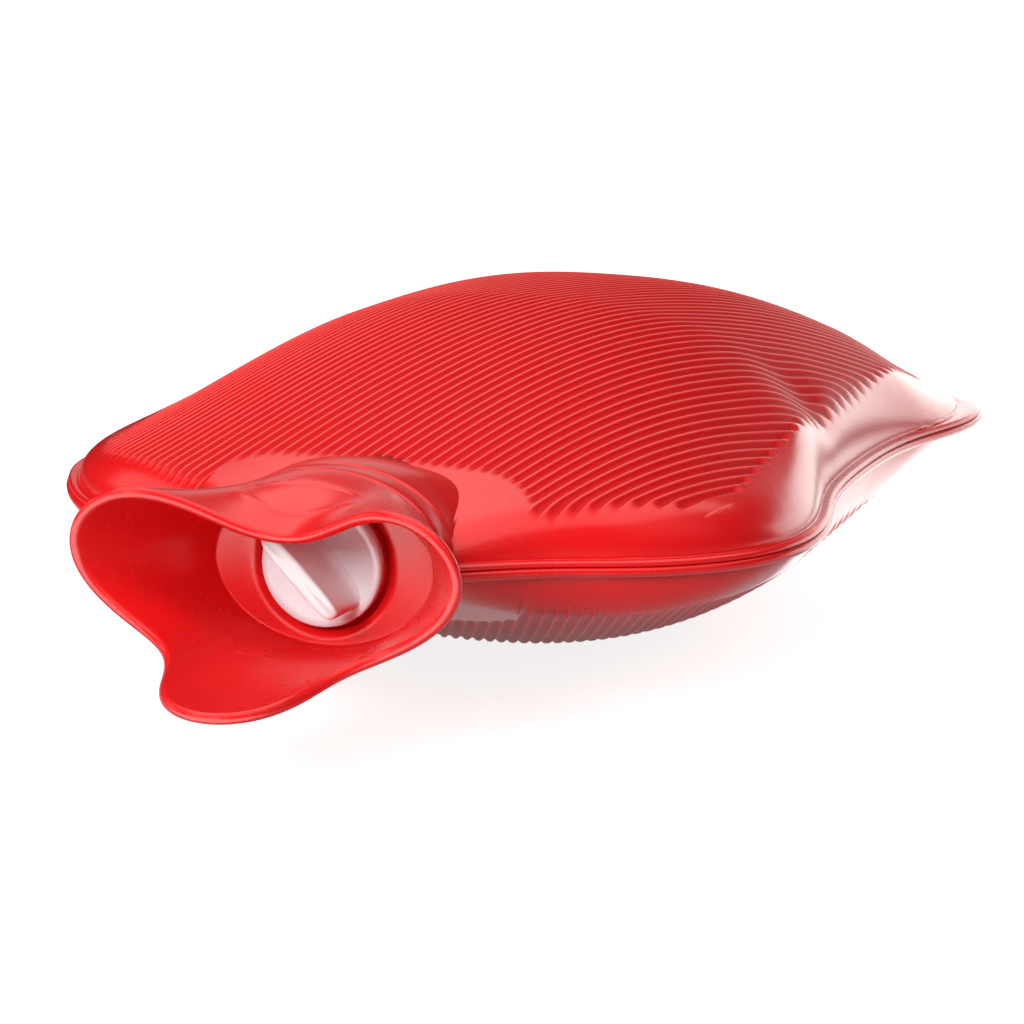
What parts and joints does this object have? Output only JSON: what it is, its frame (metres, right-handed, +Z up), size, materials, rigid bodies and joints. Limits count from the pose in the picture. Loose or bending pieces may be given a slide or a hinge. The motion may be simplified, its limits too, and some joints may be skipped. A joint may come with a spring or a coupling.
{
  "type": "hot water bottle",
  "caption": "Filled rubbery hot water bottle lying on one face, with diagonal ribs, a flat welded rim, a wide pouring funnel and a screw stopper.",
  "frame": {"origin": "middle of the flat spot that the filled bottle lies on, under the crest of the lower dome", "axes": "+Y runs along the bottle from the funnel to the foot, +Z up, +X to the right seen from the funnel; the neck axis is parallel to Y, 43.3 mm up"},
  "size_m": [0.2, 0.3722, 0.0879],
  "materials": {
    "red_rubber": "satin red soft plastic with moulded ribs",
    "funnel_rubber": "smooth satin red soft plastic",
    "washer_rubber": "matt soft rubber",
    "white_plastic": "glossy slightly milky moulded plastic"
  },
  "bodies": {
    "bottle": {"upper_half": "red_rubber", "lower_half": "red_rubber", "funnel": "funnel_rubber"},
    "washer": {"sealing_washer": "washer_rubber"},
    "cap": {"stopper": "white_plastic"}
  },
  "joints": [
    {"name": "stopper_lift", "type": "slide", "parent": "bottle", "child": "washer", "axis": [0, -1, 0], "range_m": [0, 0.012]},
    {"name": "stopper_turn", "type": "hinge", "parent": "washer", "child": "cap", "pos_m": [0, -0.147, 0.0433], "axis": [0, -1, 0], "range_deg": [0, 1080]}
  ],
  "couplings": [
    {"joint": "stopper_turn", "follows": "stopper_lift", "rad_per_m": 1570.8}
  ]
}
